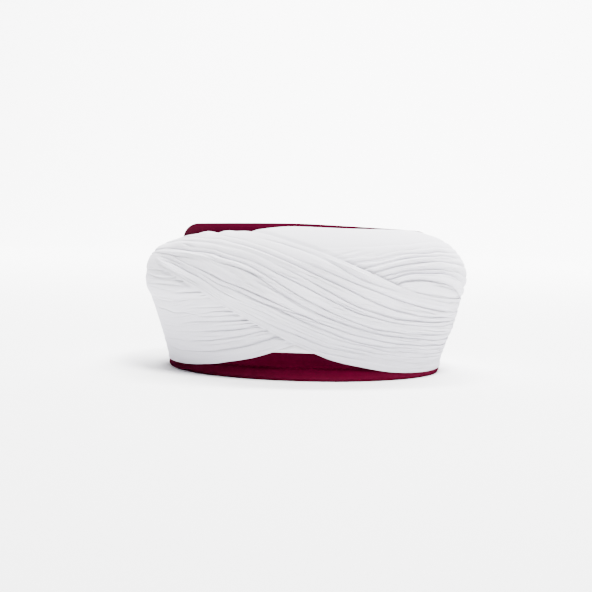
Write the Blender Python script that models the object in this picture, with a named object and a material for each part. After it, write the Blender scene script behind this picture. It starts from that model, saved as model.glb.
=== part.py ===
"""A white muslin turban wound on a low crimson felt cap, resting on the cap's rim.

Metres, +Z up, the floor at z = 0. The front faces -Y, and an angle of 0 is the middle of the front,
90 is +X, which is on the right in the photograph, and -90 is -X.
Four pieces: the felt cap, the muslin wound on it first, and two wide pleated passes over that.
One pass rises from the left side to the right, and the other falls from left to right across it.
"""

import math

import bmesh
import bpy

MM = 0.001
COLUMNS = 60

# The felt cap: an oval tube that narrows upwards, with a rounded corner and a slightly domed crown,
# which sinks a little towards the viewer's right.
CAP_WIDTH = 182.0 * MM
CAP_LENGTH = 194.0 * MM
CAP_TOP_WIDTH = 167.4 * MM
CROWN_HEIGHT = 95.4 * MM
CORNER_RADIUS = 8.0 * MM
CROWN_DOME = 2.0 * MM
RIGHT_FALL = 1.6 * MM
FELT = 2.8 * MM
RIM_ROUND = 0.7 * MM

# The wound cloth, where all its layers are counted.
CLOTH_FOOT = 2.0 * MM
WIDEST_HEIGHT = 60.0 * MM
WIDEST_STAND = 17.7 * MM
SHOULDER_HEIGHT = 29.0 * MM
SHOULDER_START = -16.0
PASS_THICK = 3.4 * MM
PASS_EDGE_THICK = 1.1 * MM
PASS_LEAST = 0.8 * MM
PASS_SHARE = 0.30
EDGE_TAPER = 12.0 * MM
COVER_START = 7.5 * MM
COVER_END = 2.4 * MM
FIRST_LAYER_FOOT = 16.5 * MM
FIRST_LAYER_HEAD = 91.0 * MM
FALLING_END = 2.5 * MM
RISING_END = 1.0 * MM
GAP = 0.35 * MM
CROWN_CLEAR = 1.8 * MM
GAP_SHARE = 0.035

# How far the cloth's outer face stands out from the cap's rim, going up the wall.
WALL_COLUMNS = ("height", "stands_out")
WALL = (
    (2.0, 0.5),
    (8.0, 1.0),
    (22.0, 5.2),
    (37.0, 10.2),
    (47.0, 14.0),
)

# The top of the cloth round the head: how much higher than the shoulder it reaches.
TOP_COLUMNS = ("angle", "rise")
TOP = (
    (-150, -2.0),
    (-90, -5.8),
    (-70, -3.4),
    (-55, 0.4),
    (-30, 4.0),
    (0, 9.6),
    (40, 8.0),
    (65, 3.6),
    (90, -0.6),
    (120, -1.2),
    (170, -1.2),
)

# Where each pass runs, in mm up the cloth from its foot, at angles round the head.
COURSE_COLUMNS = ("angle", "falling_low", "falling_top", "rising_low", "rising_top")
COURSE = (
    (-150, 50.0, 103.0, 8.0, 92.0),
    (-120, 62.0, 103.0, 3.0, 80.0),
    (-90, 65.0, 103.0, 2.5, 74.0),
    (-60, 66.5, 103.0, 2.8, 76.0),
    (-40, 57.0, 105.0, 5.5, 88.0),
    (-20, 37.0, 103.0, 12.0, 102.0),
    (0, 20.0, 86.5, 25.0, 110.0),
    (20, 8.3, 71.5, 42.0, 110.0),
    (40, 3.0, 58.0, 50.0, 110.0),
    (60, 1.5, 53.5, 47.0, 110.0),
    (90, 1.5, 52.0, 45.0, 108.0),
    (120, 2.5, 54.0, 44.0, 106.0),
    (150, 8.0, 66.0, 34.0, 105.0),
    (180, 24.0, 86.0, 20.0, 103.0),
)

# A row for each main fold, from the lower edge up: where its crease lies, as a share of the pass's
# width, at the five angles that FOLD_ANGLES names, and how deep it is in mm on each side of the head.
FOLD_ANGLES = {"falling": (-60, -30, 0, 30, 60), "rising": (-60, -25, 25, 45, 70)}
FOLD_COLUMNS = ("share_1", "share_2", "share_3", "share_4", "share_5", "left_deep", "right_deep")
FOLDS = {
    "falling": (
        (0.02, 0.05, 0.07, 0.13, 0.12, 0.3, 0.9),
        (0.18, 0.28, 0.32, 0.34, 0.35, 1.4, 0.9),
        (0.32, 0.51, 0.44, 0.44, 0.43, 1.2, 0.9),
        (0.50, 0.61, 0.58, 0.58, 0.55, 1.3, 0.8),
        (0.70, 0.74, 0.72, 0.68, 0.64, 0.8, 1.0),
        (0.80, 0.83, 0.81, 0.86, 0.81, 0.3, 0.8),
    ),
    "rising": (
        (0.14, 0.13, 0.12, 0.12, 0.12, 0.6, 0.3),
        (0.25, 0.25, 0.27, 0.25, 0.22, 0.3, 1.0),
        (0.38, 0.39, 0.37, 0.40, 0.32, 0.4, 1.7),
        (0.53, 0.50, 0.48, 0.52, 0.49, 0.3, 1.3),
        (0.70, 0.66, 0.56, 0.58, 0.57, 0.6, 1.2),
        (0.84, 0.80, 0.66, 0.65, 0.64, 0.8, 0.6),
    ),
}
CREST_SHARES = (0.30, 0.70)
CREST_PART = 0.45


def clear_scene():
    for found in list(bpy.data.objects):
        bpy.data.objects.remove(found, do_unlink=True)


def material(name, colour, roughness, sheen):
    made = bpy.data.materials.new(name)
    made.use_nodes = True
    shader = made.node_tree.nodes["Principled BSDF"]
    shader.inputs["Base Color"].default_value = (*colour, 1.0)
    shader.inputs["Roughness"].default_value = roughness
    shader.inputs["Metallic"].default_value = 0.0
    shader.inputs["Sheen Weight"].default_value = sheen
    made.diffuse_color = (*colour, 1.0)
    return made


def blend(value, low, high):
    """0 below low, 1 above high, and a smooth step between."""
    share = min(max((value - low) / (high - low), 0.0), 1.0)
    return share * share * (3.0 - 2.0 * share)


def mix(first, second, share):
    return first + (second - first) * share


def round_the_head(angle, angles, values):
    """The smooth curve through a table's values, which closes on itself after 360 degrees."""
    count = len(angles)
    angle = (angle - angles[0]) % 360.0 + angles[0]
    at = max(row for row in range(count) if angles[row] <= angle)

    def width(row):
        step = angles[(row + 1) % count] - angles[row % count]
        return step if step > 0.0 else step + 360.0

    def slope(row):
        return (values[(row + 1) % count] - values[row % count]) / width(row)

    def tangent(row):
        before, after = slope(row - 1), slope(row)
        if before * after <= 0.0:
            return 0.0
        return 2.0 * before * after / (before + after)

    span = width(at)
    share = (angle - angles[at]) / span
    rest = 1.0 - share
    start, end = values[at], values[(at + 1) % count]
    return (
        start * (1.0 + 2.0 * share) * rest * rest
        + end * (3.0 - 2.0 * share) * share * share
        + span * share * rest * (tangent(at) * rest - tangent(at + 1) * share)
    )


def from_table(table, columns, name, angle):
    angles = [row[0] for row in table]
    values = [row[columns.index(name)] for row in table]
    return round_the_head(angle, angles, values)


def place(angle, radius, height):
    """A point at a radius of the oval: the cap is longer from front to back than from side to side."""
    turn = math.radians(angle)
    flat = CAP_TOP_WIDTH / 2.0 - CORNER_RADIUS
    longer = (CAP_LENGTH - CAP_WIDTH) / 2.0 * min(radius / flat, 1.0)
    across = radius * math.sin(turn)
    sunk = RIGHT_FALL * height / CROWN_HEIGHT * (0.5 + across / CAP_TOP_WIDTH)
    return (across, -(radius + longer) * math.cos(turn), height - sunk)


def along(line, share):
    """The point at a share of the length of a line of (radius, height) points."""
    steps = [math.dist(line[i], line[i + 1]) for i in range(len(line) - 1)]
    wanted = share * sum(steps)
    for i, step in enumerate(steps):
        if wanted <= step or i == len(steps) - 1:
            part = wanted / step
            return (mix(line[i][0], line[i + 1][0], part), mix(line[i][1], line[i + 1][1], part))
        wanted -= step


def length(line):
    return sum(math.dist(line[i], line[i + 1]) for i in range(len(line) - 1))


def cap_line(end_turn=math.pi / 2.0, inset=0.0, steps=6):
    """The cap's side and corner from the rim up, moved inwards by inset."""
    top_radius = CAP_TOP_WIDTH / 2.0
    centre = (top_radius - CORNER_RADIUS, CROWN_HEIGHT - CORNER_RADIUS)
    line = [(CAP_WIDTH / 2.0 - inset, 0.0)]
    for i in range(steps + 1):
        turn = end_turn * i / steps
        bend = CORNER_RADIUS - inset
        line.append((centre[0] + bend * math.cos(turn), centre[1] + bend * math.sin(turn)))
    return line


def clear_of_crown(height):
    """The least radius that the cloth's outer face has at a height beside or above the cap's corner."""
    bend = CORNER_RADIUS + CROWN_CLEAR
    over = min(max((height - CROWN_HEIGHT + CORNER_RADIUS) / bend, 0.0), 1.0)
    return CAP_TOP_WIDTH / 2.0 - CORNER_RADIUS + bend * math.sqrt(1.0 - over * over)


def cloth_line(angle):
    """The cloth's outer face from its foot to where it ends on the crown, as (radius, height) points."""
    rim = CAP_WIDTH / 2.0
    widest = rim + WIDEST_STAND
    rise = from_table(TOP, TOP_COLUMNS, "rise", angle) * MM
    end_radius = clear_of_crown(WIDEST_HEIGHT + SHOULDER_HEIGHT + rise)
    line = [(rim + out * MM, height * MM) for height, out in WALL]
    steps = 30
    for i in range(steps + 1):
        turn = math.radians(mix(SHOULDER_START, 90.0, i / steps))
        up = SHOULDER_HEIGHT + rise * max(math.sin(turn), 0.0)
        line.append(
            (end_radius + (widest - end_radius) * math.cos(turn), WIDEST_HEIGHT + up * math.sin(turn))
        )
    return line


def cap_line_under(cloth):
    """The part of the cap's line that lies under the cloth, ending where the cloth ends."""
    centre = (CAP_TOP_WIDTH / 2.0 - CORNER_RADIUS, CROWN_HEIGHT - CORNER_RADIUS)
    end_radius, end_height = cloth[-1]
    turn = math.atan2(end_height - centre[1], end_radius - centre[0])
    line = cap_line(end_turn=max(turn, 0.05))
    foot = along(line, CLOTH_FOOT / length(line))
    return [foot] + line[1:]


class Column:
    """One angle round the head: the cloth's outer line and the cap's line under it, paired by share."""

    def __init__(self, angle):
        self.angle = angle
        self.outer = cloth_line(angle)
        self.inner = cap_line_under(self.outer)
        self.length = length(self.outer)

    def room(self, up):
        """The distance from the cloth's outer face down to the cap, at a length up the cloth."""
        share = up / self.length
        return math.dist(along(self.outer, share), along(self.inner, share))

    def point(self, up, depth):
        """The point at a length up the cloth and a depth below its outer face."""
        share = up / self.length
        outer = along(self.outer, share)
        inner = along(self.inner, share)
        part = depth / math.dist(outer, inner)
        return place(self.angle, mix(outer[0], inner[0], part), mix(outer[1], inner[1], part))

    def gap(self, up):
        return GAP + GAP_SHARE * self.room(up)

    def course(self, name):
        """Where a pass's edge lies, up the cloth: no pass goes past the cloth's end on the crown."""
        end = FALLING_END if name == "falling_top" else RISING_END
        return min(from_table(COURSE, COURSE_COLUMNS, name, self.angle) * MM, self.length - end)

    def thickness(self, up, pass_name):
        """A pass is thin at its two edges, and never takes more than its share of the room."""
        to_edge = min(up - self.course(pass_name + "_low"), self.course(pass_name + "_top") - up)
        full = mix(PASS_EDGE_THICK, PASS_THICK, blend(to_edge, 0.0, EDGE_TAPER))
        return max(min(full, PASS_SHARE * self.room(up)), PASS_LEAST)

    def covered(self, up):
        """How far down the rising pass lies: it dips under the falling pass and comes up again."""
        inside = min(up - self.course("falling_low"), self.course("falling_top") - up)
        under = blend(inside, -COVER_START, -COVER_END)
        return under * (self.thickness(up, "falling") + self.gap(up))


def columns():
    return [Column(-180.0 + 360.0 * (i + 0.5) / COLUMNS) for i in range(COLUMNS)]


def closed_ring(name, rings, made_of):
    """A solid ring from one closed section for each column, as a grid whose two seams are merged."""
    across = len(rings[0])
    mesh = bmesh.new()
    bmesh.ops.create_grid(mesh, x_segments=len(rings), y_segments=across, size=1.0)
    mesh.verts.ensure_lookup_table()
    order = sorted(mesh.verts, key=lambda v: (round(v.co.y, 6), round(v.co.x, 6)))
    for number, corner in enumerate(order):
        row, column = divmod(number, len(rings) + 1)
        corner.co = rings[column % len(rings)][row % across]
    bmesh.ops.remove_doubles(mesh, verts=mesh.verts, dist=0.00001)
    return finish(name, mesh, made_of)


def finish(name, mesh, made_of):
    bmesh.ops.recalc_face_normals(mesh, faces=mesh.faces)
    for face in mesh.faces:
        face.smooth = True
    data = bpy.data.meshes.new(name)
    mesh.to_mesh(data)
    mesh.free()
    data.materials.append(made_of)
    piece = bpy.data.objects.new(name, data)
    bpy.context.scene.collection.objects.link(piece)
    return piece


def felt_cap(made_of):
    """One felt shell: outside up to the crown's middle, then back down the inside to the rim."""
    centre_height = CROWN_HEIGHT + CROWN_DOME
    flat = CAP_TOP_WIDTH / 2.0 - CORNER_RADIUS
    outside = cap_line(steps=4)
    inside = cap_line(inset=FELT, steps=3)
    rim = outside[0][0]
    section = [(rim - RIM_ROUND, 0.0), (rim - 0.2 * RIM_ROUND, RIM_ROUND)]
    section += outside[1:]
    section += [(flat * 0.62, CROWN_HEIGHT + 0.62 * CROWN_DOME)]
    section += [(0.0, centre_height), (0.0, centre_height - FELT)]
    section += [(flat * 0.62, CROWN_HEIGHT + 0.62 * CROWN_DOME - FELT)]
    section += list(reversed(inside[1:]))
    section += [(inside[0][0], RIM_ROUND), (inside[0][0] + 0.5 * RIM_ROUND, 0.0)]
    rings = [[place(column.angle, *corner) for corner in section] for column in columns()]
    return closed_ring("felt_cap", rings, made_of)


def under_wrap(made_of):
    """The muslin wound on first: a thick ring between the cap and the two passes."""
    shares_out = [0.0, 0.10, 0.22, 0.34, 0.46, 0.58, 0.70, 0.80, 0.90, 1.0]
    shares_in = [0.97, 0.75, 0.5, 0.25, 0.03]
    rings = []
    for column in columns():
        ring = []
        for share in shares_out + shares_in:
            up = mix(FIRST_LAYER_FOOT, FIRST_LAYER_HEAD, share)
            outer = 2.0 * (min(PASS_THICK, PASS_SHARE * column.room(up)) + column.gap(up))
            inner = column.room(up) - column.gap(up)
            inner_row = len(ring) >= len(shares_out)
            depth = inner if inner_row else outer
            if share in (0.0, 1.0):
                depth = (inner + outer) / 2.0
            ring.append(column.point(up, depth))
        rings.append(ring)
    return closed_ring("under_wrap", rings, made_of)


def fold_rows(pass_name, angle):
    """The outer face's rows at an angle: (share of the pass's width, how far the cloth stands out)."""
    angles = FOLD_ANGLES[pass_name]
    to_right = 0.5 + 0.5 * math.sin(math.radians(angle))
    creases = []
    for *shares, left_deep, right_deep in FOLDS[pass_name]:
        share = round_the_head(angle, angles, shares)
        creases.append((share, mix(left_deep, right_deep, to_right) * MM))
    starts = [(0.0, 0.0)] + creases
    ends = creases + [(1.0, 0.0)]
    rows = []
    for (low, low_depth), (high, high_depth) in zip(starts, ends):
        if low > 0.0:
            rows.append((low, -(1.0 - CREST_PART) * low_depth))
        for crest in CREST_SHARES:
            rows.append((mix(low, high, crest), CREST_PART * mix(low_depth, high_depth, crest)))
    return rows


def wound_pass(name, pass_name, made_of):
    """One wide pleated pass round the head, as thick as its layers, with its folds on the outside."""
    inner_shares = (0.97, 0.90, 0.82, 0.72, 0.60, 0.48, 0.36, 0.24, 0.12, 0.03)
    rings = []
    for column in columns():
        low = column.course(pass_name + "_low")
        high = column.course(pass_name + "_top")

        def point(share, sunk, relief):
            up = mix(low, high, share)
            down = 0.0
            if pass_name == "rising":
                down = column.covered(up)
                relief *= 1.0 - blend(down, 0.0, PASS_EDGE_THICK)
            return column.point(up, down + sunk * column.thickness(up, pass_name) - relief)

        ring = [point(0.0, 0.5, 0.0)]
        for share, relief in fold_rows(pass_name, column.angle):
            ring.append(point(share, 0.0, relief))
        ring.append(point(1.0, 0.5, 0.0))
        for share in inner_shares:
            ring.append(point(share, 1.0, 0.0))
        rings.append(ring)
    return closed_ring(name, rings, made_of)


def build():
    clear_scene()
    felt = material("crimson felt", (0.20, 0.008, 0.045), 0.9, 0.3)
    muslin = material("white muslin", (0.80, 0.80, 0.81), 0.8, 0.1)
    muslin_first = material("white muslin, first layers", (0.77, 0.77, 0.78), 0.8, 0.1)
    muslin_rising = material("white muslin, rising pass", (0.79, 0.79, 0.80), 0.8, 0.1)
    felt_cap(felt)
    under_wrap(muslin_first)
    wound_pass("rising_pass", "rising", muslin_rising)
    wound_pass("falling_pass", "falling", muslin)


build()
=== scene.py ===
import math

import bmesh
import bpy
import numpy as np
from mathutils import Matrix, Vector


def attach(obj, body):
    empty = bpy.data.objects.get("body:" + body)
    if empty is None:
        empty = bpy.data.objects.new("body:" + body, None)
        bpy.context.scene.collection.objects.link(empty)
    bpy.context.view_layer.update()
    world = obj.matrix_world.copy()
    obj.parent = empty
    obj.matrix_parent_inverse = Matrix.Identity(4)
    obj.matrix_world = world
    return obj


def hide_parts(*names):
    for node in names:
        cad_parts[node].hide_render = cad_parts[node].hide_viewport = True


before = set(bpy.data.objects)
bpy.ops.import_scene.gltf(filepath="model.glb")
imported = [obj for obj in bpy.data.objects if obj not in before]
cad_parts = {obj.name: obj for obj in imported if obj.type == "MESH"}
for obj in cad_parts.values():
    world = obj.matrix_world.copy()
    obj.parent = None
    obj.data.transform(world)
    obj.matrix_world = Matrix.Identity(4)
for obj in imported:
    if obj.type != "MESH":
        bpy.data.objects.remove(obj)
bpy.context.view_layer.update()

MM = 0.001

# The felt cap is one shell of thick crimson wool felt, steamed over an oval block, so it has no seam.
# Its wall leans in towards a nearly flat crown with a rounded corner. The lower edge is turned in and
# pressed, which leaves a groove with small stitches 8 mm above the rim and a plump band under it.
CAP_WIDTH = 182.0 * MM
CAP_LENGTH = 194.0 * MM
CAP_TOP_WIDTH = 167.4 * MM
CROWN_HEIGHT = 95.4 * MM
CORNER_RADIUS = 8.0 * MM
CORNER_BEND = 10.5 * MM
CROWN_DOME = 2.0 * MM
RIGHT_FALL = 1.6 * MM
FELT = 2.8 * MM
RIM_BEND = 1.3 * MM
HEM_HEIGHT = 8.2 * MM
HEM_GROOVE = 0.55 * MM
HEM_GROOVE_HALF = 0.75 * MM
HEM_PLUMP = 0.55 * MM
STITCH_PITCH = 4.2 * MM
STITCH = (1.2 * MM, 0.34 * MM, 0.26 * MM)
STITCH_SUNK = 0.42 * MM
STITCH_LEAN = 9.0
STITCHES = round(math.pi * CAP_WIDTH / STITCH_PITCH)
BAND_MIDDLE = HEM_HEIGHT - 1.5 * MM
BAND_HALF = 1.5 * MM
BAND_SWELL = 0.14 * MM
WALL_UNEVEN = 0.16 * MM
CROWN_PRESSED = 0.25 * MM
CAP_COLUMNS = 560
CAP_FLAT = CAP_TOP_WIDTH / 2.0 - CORNER_RADIUS
FELT_CRIMSON = (0.053, 0.0006, 0.0094)
# A paler crimson: the fibres' flecks, the worn rim, and the painted highlight on it.
FELT_WORN_AND_HIGHLIGHT = (0.095, 0.0048, 0.0205)
# A deeper crimson: the felt's mottle, and the painted shade on the crown.
FELT_DEEP_AND_SHADE = (0.024, 0.0002, 0.0048)
THREAD_DARK = (0.022, 0.0002, 0.004)
THREAD_PALE = (0.045, 0.0004, 0.007)

# How many of the felt's patches, specks and fibres, and of the thread's twists, lie in a metre.
FELT_PATCHES = 38.0
FELT_SPECKS = 520.0
FELT_FIBRES = 1500.0
THREAD_TWIST = 900.0

# The heights between which painted shade deepens the felt at the crown's corner, and the rim turns
# paler, partly worn and partly a painted highlight.
PAINTED_CROWN_SHADE = (80.0 * MM, 90.0 * MM)
RUBBED_AND_HIGHLIT = (7.5 * MM, 1.0 * MM)


def mix(first, second, share):
    return first + (second - first) * share


def blend(value, low, high):
    """0 below low, 1 above high, and a smooth step between."""
    share = np.clip((value - low) / (high - low), 0.0, 1.0)
    return share * share * (3.0 - 2.0 * share)


def angles_round(count):
    """Even angles round the head in degrees: 0 is the middle of the front, 90 is the viewer's right."""
    return -180.0 + 360.0 * np.arange(count) / count


def place(angle, radius, height):
    """Points at a radius of the oval: the cap is longer from front to back than from side to side."""
    turn = np.radians(angle)
    longer = (CAP_LENGTH - CAP_WIDTH) / 2.0 * np.minimum(radius / CAP_FLAT, 1.0)
    across = radius * np.sin(turn)
    sunk = RIGHT_FALL * height / CROWN_HEIGHT * (0.5 + across / CAP_TOP_WIDTH)
    return np.stack([across, -(radius + longer) * np.cos(turn), height - sunk], axis=-1)


def finished(data, mesh, finish):
    """The piece that a bmesh makes in its mesh data, with smooth faces and its finish."""
    for face in mesh.faces:
        face.smooth = True
    mesh.to_mesh(data)
    mesh.free()
    data.materials.append(finish)
    piece = bpy.data.objects.new(data.name, data)
    bpy.context.scene.collection.objects.link(piece)
    return piece


def rolled_ring(name, points, finish):
    """A closed ring from sections of points: a grid rolled up both ways, with its two seams merged.

    Its map "flat" is in metres, round the head and along the section, so a weave keeps its size.
    Its map "folds" has the share of the section instead, which follows the folds.
    """
    rows, columns = points.shape[:2]
    mesh = bmesh.new()
    mesh.loops.layers.uv.new("flat")
    mesh.loops.layers.uv.new("folds")
    bmesh.ops.create_grid(mesh, x_segments=columns, y_segments=rows, size=1.0, calc_uvs=True)
    data = bpy.data.meshes.new(name)
    mesh.to_mesh(data)
    mesh.free()

    corners = np.empty(len(data.vertices) * 3)
    data.vertices.foreach_get("co", corners)
    corners = corners.reshape(-1, 3)
    column = np.rint((corners[:, 0] + 1.0) / 2.0 * columns).astype(int) % columns
    row = np.rint((corners[:, 1] + 1.0) / 2.0 * rows).astype(int) % rows
    data.vertices.foreach_set("co", points[row, column].ravel())

    around = np.concatenate([points, points[:1]])
    steps = np.linalg.norm(np.diff(around, axis=0), axis=2)
    run = np.concatenate([np.zeros((1, columns)), np.cumsum(steps, axis=0)])
    girth = np.linalg.norm(points - np.roll(points, 1, axis=1), axis=2).sum(axis=1).max()
    flat = np.empty(len(data.loops) * 2)
    data.uv_layers["flat"].data.foreach_get("uv", flat)
    flat = flat.reshape(-1, 2)
    column = np.rint(flat[:, 0] * columns).astype(int)
    row = np.rint(flat[:, 1] * rows).astype(int)
    flat = np.stack([column / columns * girth, run[row, column % columns]], axis=1)
    data.uv_layers["flat"].data.foreach_set("uv", flat.ravel())
    flat[:, 1] /= run[-1, column % columns]
    data.uv_layers["folds"].data.foreach_set("uv", flat.ravel())

    mesh = bmesh.new()
    mesh.from_mesh(data)
    bmesh.ops.remove_doubles(mesh, verts=mesh.verts, dist=1e-7)
    bmesh.ops.recalc_face_normals(mesh, faces=mesh.faces)
    return finished(data, mesh, finish)


def node(tree, kind, **settings):
    """A node with its settings: an input takes a number, or is linked to the socket that is given."""
    made = tree.nodes.new(kind)
    for key, value in settings.items():
        if key not in made.inputs:
            setattr(made, key, value)
        elif isinstance(value, bpy.types.NodeSocket):
            tree.links.new(value, made.inputs[key])
        else:
            made.inputs[key].default_value = value
    return made


def maths(tree, operation, first, second=None):
    """One sum on two sockets or numbers, giving its output socket."""
    made = tree.nodes.new("ShaderNodeMath")
    made.operation = operation
    for socket, value in zip(made.inputs, (first, second)):
        if value is None:
            continue
        if isinstance(value, (int, float)):
            socket.default_value = value
        else:
            tree.links.new(value, socket)
    return made.outputs[0]


def mixed_colour(tree, share, first, second):
    """A colour between two, each of which is a colour or a socket."""
    made = tree.nodes.new("ShaderNodeMix")
    made.data_type = "RGBA"
    tree.links.new(share, made.inputs["Factor"])
    for socket, value in ((made.inputs[6], first), (made.inputs[7], second)):
        if isinstance(value, tuple):
            socket.default_value = (*value, 1.0)
        else:
            tree.links.new(value, socket)
    return made.outputs[2]


def weighed_sum(tree, *parts):
    """The sum of some sockets, each times its weight."""
    weighed = [maths(tree, "MULTIPLY", socket, weight) for socket, weight in parts]
    total = weighed[0]
    for part in weighed[1:]:
        total = maths(tree, "ADD", total, part)
    return total


def ramp(tree, value, low, high, at_low=0.0, at_high=1.0, smooth=True):
    """A socket's value carried from between low and high to between two other numbers."""
    interpolation = "SMOOTHSTEP" if smooth else "LINEAR"
    made = node(tree, "ShaderNodeMapRange", Value=value, interpolation_type=interpolation)
    numbers = (low, high, at_low, at_high)
    for socket, number in zip(("From Min", "From Max", "To Min", "To Max"), numbers):
        made.inputs[socket].default_value = number
    return made.outputs[0]


def new_material(name, roughness, sheen, sheen_roughness, sheen_tint):
    made = bpy.data.materials.new(name)
    made.use_nodes = True
    shader = made.node_tree.nodes["Principled BSDF"]
    shader.inputs["Roughness"].default_value = roughness
    shader.inputs["Specular IOR Level"].default_value = 0.0
    shader.inputs["Sheen Weight"].default_value = sheen
    shader.inputs["Sheen Roughness"].default_value = sheen_roughness
    shader.inputs["Sheen Tint"].default_value = (*sheen_tint, 1.0)
    return made, made.node_tree, shader


def group(name, numbers, outputs):
    """A node group that takes a place and some numbers, and its two end nodes."""
    made = bpy.data.node_groups.new(name, "ShaderNodeTree")
    made.interface.new_socket("Vector", in_out="INPUT", socket_type="NodeSocketVector")
    for side, sockets in (("INPUT", numbers), ("OUTPUT", outputs)):
        for socket in sockets:
            made.interface.new_socket(socket, in_out=side, socket_type="NodeSocketFloat")
    return made, made.nodes.new("NodeGroupInput"), made.nodes.new("NodeGroupOutput")


def mottle_group():
    """Soft patches: slow changes of shade over some centimetres, and small ones over some millimetres."""
    made, start, end = group("mottle", ["Wide", "Small"], ["Patches", "Specks"])
    for size, output, detail in (("Wide", "Patches", 3.0), ("Small", "Specks", 2.0)):
        noise = node(made, "ShaderNodeTexNoise", Vector=start.outputs["Vector"],
                     Scale=start.outputs[size], Detail=detail, Roughness=0.55)
        made.links.new(noise.outputs["Fac"], end.inputs[output])
    return made


mottle = mottle_group()


def felt_finish():
    """Crimson wool felt: matted fibres and a soft nap, paler at the worn rim with a painted highlight, and
    deeper on the crown with painted shade.
    """
    made, tree, shader = new_material("crimson wool felt", 0.95, 0.02, 0.45, (1.0, 0.20, 0.36))
    on_piece = node(tree, "ShaderNodeTexCoord").outputs["Object"]
    soft = node(tree, "ShaderNodeGroup", node_tree=mottle, Vector=on_piece,
                Wide=FELT_PATCHES, Small=FELT_SPECKS)
    patches, specks = soft.outputs["Patches"], soft.outputs["Specks"]
    noise = node(tree, "ShaderNodeTexNoise", Vector=on_piece, Scale=FELT_FIBRES,
                 Detail=4.0, Roughness=0.7, Distortion=1.6)
    fibres = noise.outputs["Fac"]
    height = node(tree, "ShaderNodeSeparateXYZ", Vector=on_piece).outputs["Z"]

    shade = maths(tree, "SUBTRACT", weighed_sum(tree, (patches, 0.55), (specks, 0.45)), 0.18)
    # Painted shade: the felt turns deeper towards the crown.
    shade = maths(tree, "ADD", shade, ramp(tree, height, *PAINTED_CROWN_SHADE))
    colour = mixed_colour(tree, shade, FELT_CRIMSON, FELT_DEEP_AND_SHADE)
    # Paler at the rim: worn, and partly a painted highlight.
    rubbed_and_highlit = maths(tree, "MULTIPLY", ramp(tree, height, *RUBBED_AND_HIGHLIT), 0.42)
    rubbed_and_highlit = maths(tree, "MULTIPLY", rubbed_and_highlit, maths(tree, "ADD", patches, 0.45))
    colour = mixed_colour(tree, rubbed_and_highlit, colour, FELT_WORN_AND_HIGHLIGHT)
    flecks = maths(tree, "MULTIPLY", ramp(tree, fibres, 0.62, 0.80, smooth=False), 0.35)
    tree.links.new(mixed_colour(tree, flecks, colour, FELT_WORN_AND_HIGHLIGHT), shader.inputs["Base Color"])

    nap = weighed_sum(tree, (fibres, 0.7), (specks, 0.6))
    bump = node(tree, "ShaderNodeBump", Height=nap, Strength=0.55, Distance=0.35 * MM)
    tree.links.new(bump.outputs["Normal"], shader.inputs["Normal"])
    return made


def thread_finish():
    """The crimson sewing thread, a shade deeper than the felt, with a fine twist."""
    made, tree, shader = new_material("crimson thread", 0.8, 0.0, 0.4, (1.0, 0.5, 0.6))
    on_piece = node(tree, "ShaderNodeTexCoord").outputs["Object"]
    wave = node(tree, "ShaderNodeTexWave", Vector=on_piece, Scale=THREAD_TWIST, Distortion=2.0,
                bands_direction="DIAGONAL")
    twist = wave.outputs["Fac"]
    tree.links.new(mixed_colour(tree, twist, THREAD_DARK, THREAD_PALE), shader.inputs["Base Color"])
    bump = node(tree, "ShaderNodeBump", Height=twist, Strength=0.4, Distance=0.1 * MM)
    tree.links.new(bump.outputs["Normal"], shader.inputs["Normal"])
    return made


def arc(centre, radius, first, last, count):
    """The points of a bend, each as (radius, height), from one angle to another."""
    turns = np.radians(np.linspace(first, last, count))
    return [(centre[0] + radius * np.cos(turn), centre[1] + radius * np.sin(turn)) for turn in turns]


def cap_section():
    """The cap's section: up the outside to the crown's middle, and back down the inside to the rim."""
    corner = (CAP_TOP_WIDTH / 2.0 - CORNER_BEND, CROWN_HEIGHT - CORNER_BEND)

    def wall_radius(height):
        return mix(CAP_WIDTH / 2.0, CAP_TOP_WIDTH / 2.0, height / corner[1])

    def crown(shares, below):
        top = CROWN_HEIGHT - below
        return [(corner[0] * share, top + CROWN_DOME * (1.0 - share ** 2)) for share in shares]

    section = arc((CAP_WIDTH / 2.0 - RIM_BEND, RIM_BEND), RIM_BEND, -90.0, -10.0, 7)
    # The steps are small at the hem's groove and wide on the plain wall, which the cloth covers.
    heights = np.concatenate([
        np.arange(1.4, 6.0, 0.6), np.arange(6.0, 10.6, 0.24), np.arange(11.0, 26.0, 1.3),
        np.arange(28.0, 77.0, 7.0), np.arange(78.0, 84.0, 1.4),
    ]) * MM
    for height in heights:
        plump = HEM_PLUMP * (1.0 - blend(height, HEM_HEIGHT - 2.2 * MM, HEM_HEIGHT))
        groove = HEM_GROOVE * math.exp(-(((height - HEM_HEIGHT) / HEM_GROOVE_HALF) ** 2))
        section.append((wall_radius(height) + plump - groove, height))
    section += arc(corner, CORNER_BEND, 0.0, 90.0, 11)
    section += crown(np.linspace(0.94, 0.0, 19), 0.0)
    section += crown(np.linspace(0.0, 0.94, 9), FELT)
    section += arc(corner, CORNER_BEND - FELT, 90.0, 0.0, 7)
    for height in np.concatenate([np.arange(78.0, 12.0, -6.0), np.arange(11.0, 1.2, -1.2)]) * MM:
        section.append((wall_radius(height) - FELT, height))
    section += arc((CAP_WIDTH / 2.0 - FELT + RIM_BEND, RIM_BEND), RIM_BEND, 190.0, 262.0, 5)
    return np.array(section)


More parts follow.
